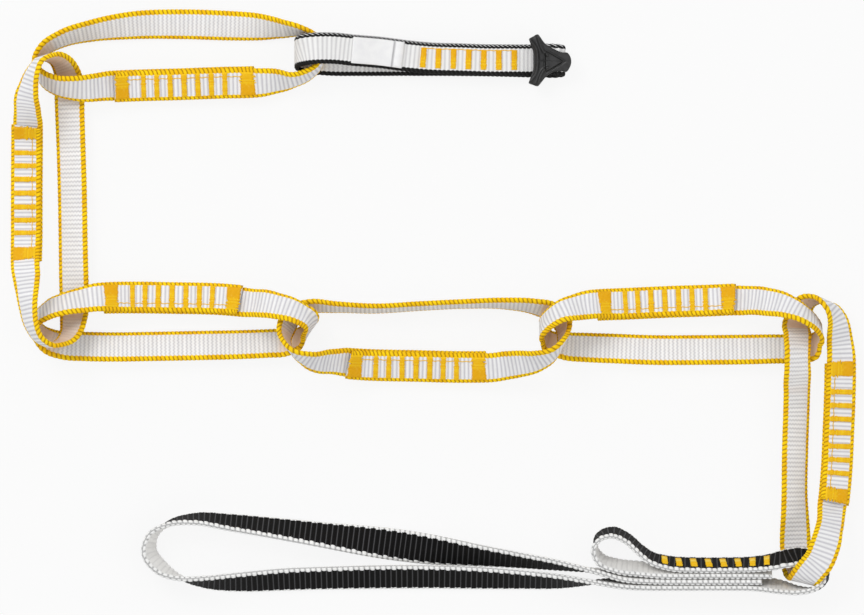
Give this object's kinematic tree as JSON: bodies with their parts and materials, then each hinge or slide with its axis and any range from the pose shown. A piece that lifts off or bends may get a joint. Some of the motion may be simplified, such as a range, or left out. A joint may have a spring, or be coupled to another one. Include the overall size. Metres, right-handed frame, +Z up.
{
  "type": "climbing daisy chain",
  "caption": "Daisy chain laid out flat: sewn webbing rings linked in a row, with a clip loop and rubber keeper at one end and a black harness sling at the other.",
  "frame": {"origin": "on the supporting surface, under the middle of the chain's outline as laid out", "axes": "+Z up off the surface, +X along the rows towards the harness sling's eye, +Y from the harness sling to the clip loop"},
  "size_m": [0.347, 0.2402, 0.0278],
  "materials": {
    "ring_webbing": "woven yellow and white webbing with beaded yellow edges",
    "clip_webbing": "woven white webbing with black flecked edges",
    "sling_webbing": "woven webbing, black on one side and white on the other",
    "yellow_thread": "dense rows of yellow stitches",
    "label_cloth": "smooth bare white tag",
    "black_rubber": "moulded matt rubber"
  },
  "bodies": {
    "ring_1": {"ring_1_webbing": "ring_webbing", "ring_1_end_tack_1": "yellow_thread", "ring_1_end_tack_2": "yellow_thread"},
    "ring_2": {"ring_2_webbing": "ring_webbing", "ring_2_end_tack_1": "yellow_thread", "ring_2_end_tack_2": "yellow_thread"},
    "ring_3": {"ring_3_webbing": "ring_webbing", "ring_3_end_tack_1": "yellow_thread", "ring_3_end_tack_2": "yellow_thread"},
    "ring_4": {"ring_4_webbing": "ring_webbing", "ring_4_end_tack_1": "yellow_thread", "ring_4_end_tack_2": "yellow_thread"},
    "ring_5": {"ring_5_webbing": "ring_webbing", "ring_5_end_tack_1": "yellow_thread", "ring_5_end_tack_2": "yellow_thread"},
    "ring_6": {"ring_6_webbing": "ring_webbing", "ring_6_end_tack_1": "yellow_thread", "ring_6_end_tack_2": "yellow_thread"},
    "clip_loop": {"clip_loop_webbing": "clip_webbing", "clip_loop_label": "label_cloth", "clip_loop_tack_1": "yellow_thread", "clip_loop_tack_2": "yellow_thread", "clip_loop_tack_3": "yellow_thread", "clip_loop_tack_4": "yellow_thread", "clip_loop_tack_5": "yellow_thread", "clip_loop_tack_6": "yellow_thread", "clip_loop_tack_7": "yellow_thread"},
    "keeper": {"carabiner_keeper": "black_rubber"},
    "harness_sling": {"harness_sling_webbing": "sling_webbing", "harness_sling_tack_1": "yellow_thread", "harness_sling_tack_2": "yellow_thread", "harness_sling_tack_3": "yellow_thread", "harness_sling_tack_4": "yellow_thread", "harness_sling_tack_5": "yellow_thread", "harness_sling_tack_6": "yellow_thread", "harness_sling_tack_7": "yellow_thread", "harness_sling_tack_8": "yellow_thread"}
  },
  "joints": [
    {"name": "ring_3_on_ring_4", "type": "hinge", "parent": "ring_4", "child": "ring_3", "pos_m": [-0.05429, -0.0115, 0], "axis": [0, 0, 1], "range_deg": [-14, 18]},
    {"name": "ring_2_on_ring_3", "type": "hinge", "parent": "ring_3", "child": "ring_2", "pos_m": [-0.15314, -0.00945, 0], "axis": [0, 0, 1], "range_deg": [-6, 28]},
    {"name": "ring_1_on_ring_2", "type": "hinge", "parent": "ring_2", "child": "ring_1", "pos_m": [-0.15724, 0.09514, 0], "axis": [0, 0, 1], "range_deg": [-6, 28]},
    {"name": "clip_loop_on_ring_1", "type": "hinge", "parent": "ring_1", "child": "clip_loop", "pos_m": [-0.05101, 0.09842, 0], "axis": [0, 0, 1], "range_deg": [-8, 14]},
    {"name": "ring_5_on_ring_4", "type": "hinge", "parent": "ring_4", "child": "ring_5", "pos_m": [0.04866, -0.01232, 0], "axis": [0, 0, 1], "range_deg": [-6, 28]},
    {"name": "ring_6_on_ring_5", "type": "hinge", "parent": "ring_5", "child": "ring_6", "pos_m": [0.15243, -0.00945, 0], "axis": [0, 0, 1], "range_deg": [-5, 12]},
    {"name": "harness_sling_on_ring_6", "type": "hinge", "parent": "ring_6", "child": "harness_sling", "pos_m": [0.1553, -0.11527, 0], "axis": [0, 0, 1], "range_deg": [-4, 12]},
    {"name": "keeper_slide", "type": "slide", "parent": "clip_loop", "child": "keeper", "axis": [-1, 0, 0], "range_m": [0, 0.004]}
  ]
}
